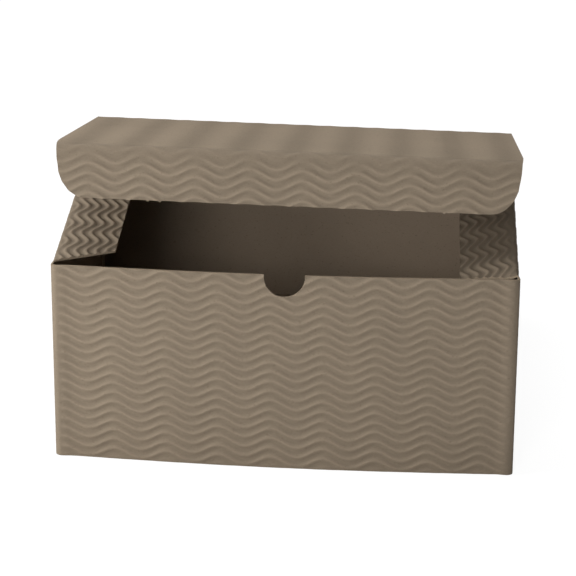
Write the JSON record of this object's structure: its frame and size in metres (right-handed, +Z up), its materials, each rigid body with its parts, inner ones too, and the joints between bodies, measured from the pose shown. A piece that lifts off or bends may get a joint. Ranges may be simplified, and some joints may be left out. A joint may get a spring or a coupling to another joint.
{
  "type": "tuck-top folding carton",
  "caption": "Shallow square folding carton of waved kraft board with a tuck-in lid, dust flaps, a thumb notch and a snap-lock base.",
  "frame": {"origin": "middle of the footprint, on the surface that the carton stands on", "axes": "+X across the front to the right, +Y from the front to the back, +Z up"},
  "size_m": [0.229, 0.229, 0.16],
  "materials": {
    "kraft_carton": "matt unbleached kraft board with waved ridges outside and a plain inside",
    "kraft_lid": "matt unbleached kraft board with waved ridges on top and a plain underside",
    "kraft_tuck_flap": "matt unbleached kraft board with waved ridges on its outer face"
  },
  "bodies": {
    "carton": {"carton": "kraft_carton"},
    "lid": {"lid": "kraft_lid"},
    "tuck_flap": {"tuck_flap": "kraft_tuck_flap"}
  },
  "joints": [
    {"name": "lid_hinge", "type": "hinge", "parent": "carton", "child": "lid", "pos_m": [0, 0.1133, 0.104], "axis": [-1, 0, 0], "range_deg": [-14.3, 165.7]},
    {"name": "tuck_hinge", "type": "hinge", "parent": "lid", "child": "tuck_flap", "pos_m": [0, -0.10434, 0.15947], "axis": [-1, 0, 0], "range_deg": [-14.4, 100.6]}
  ]
}
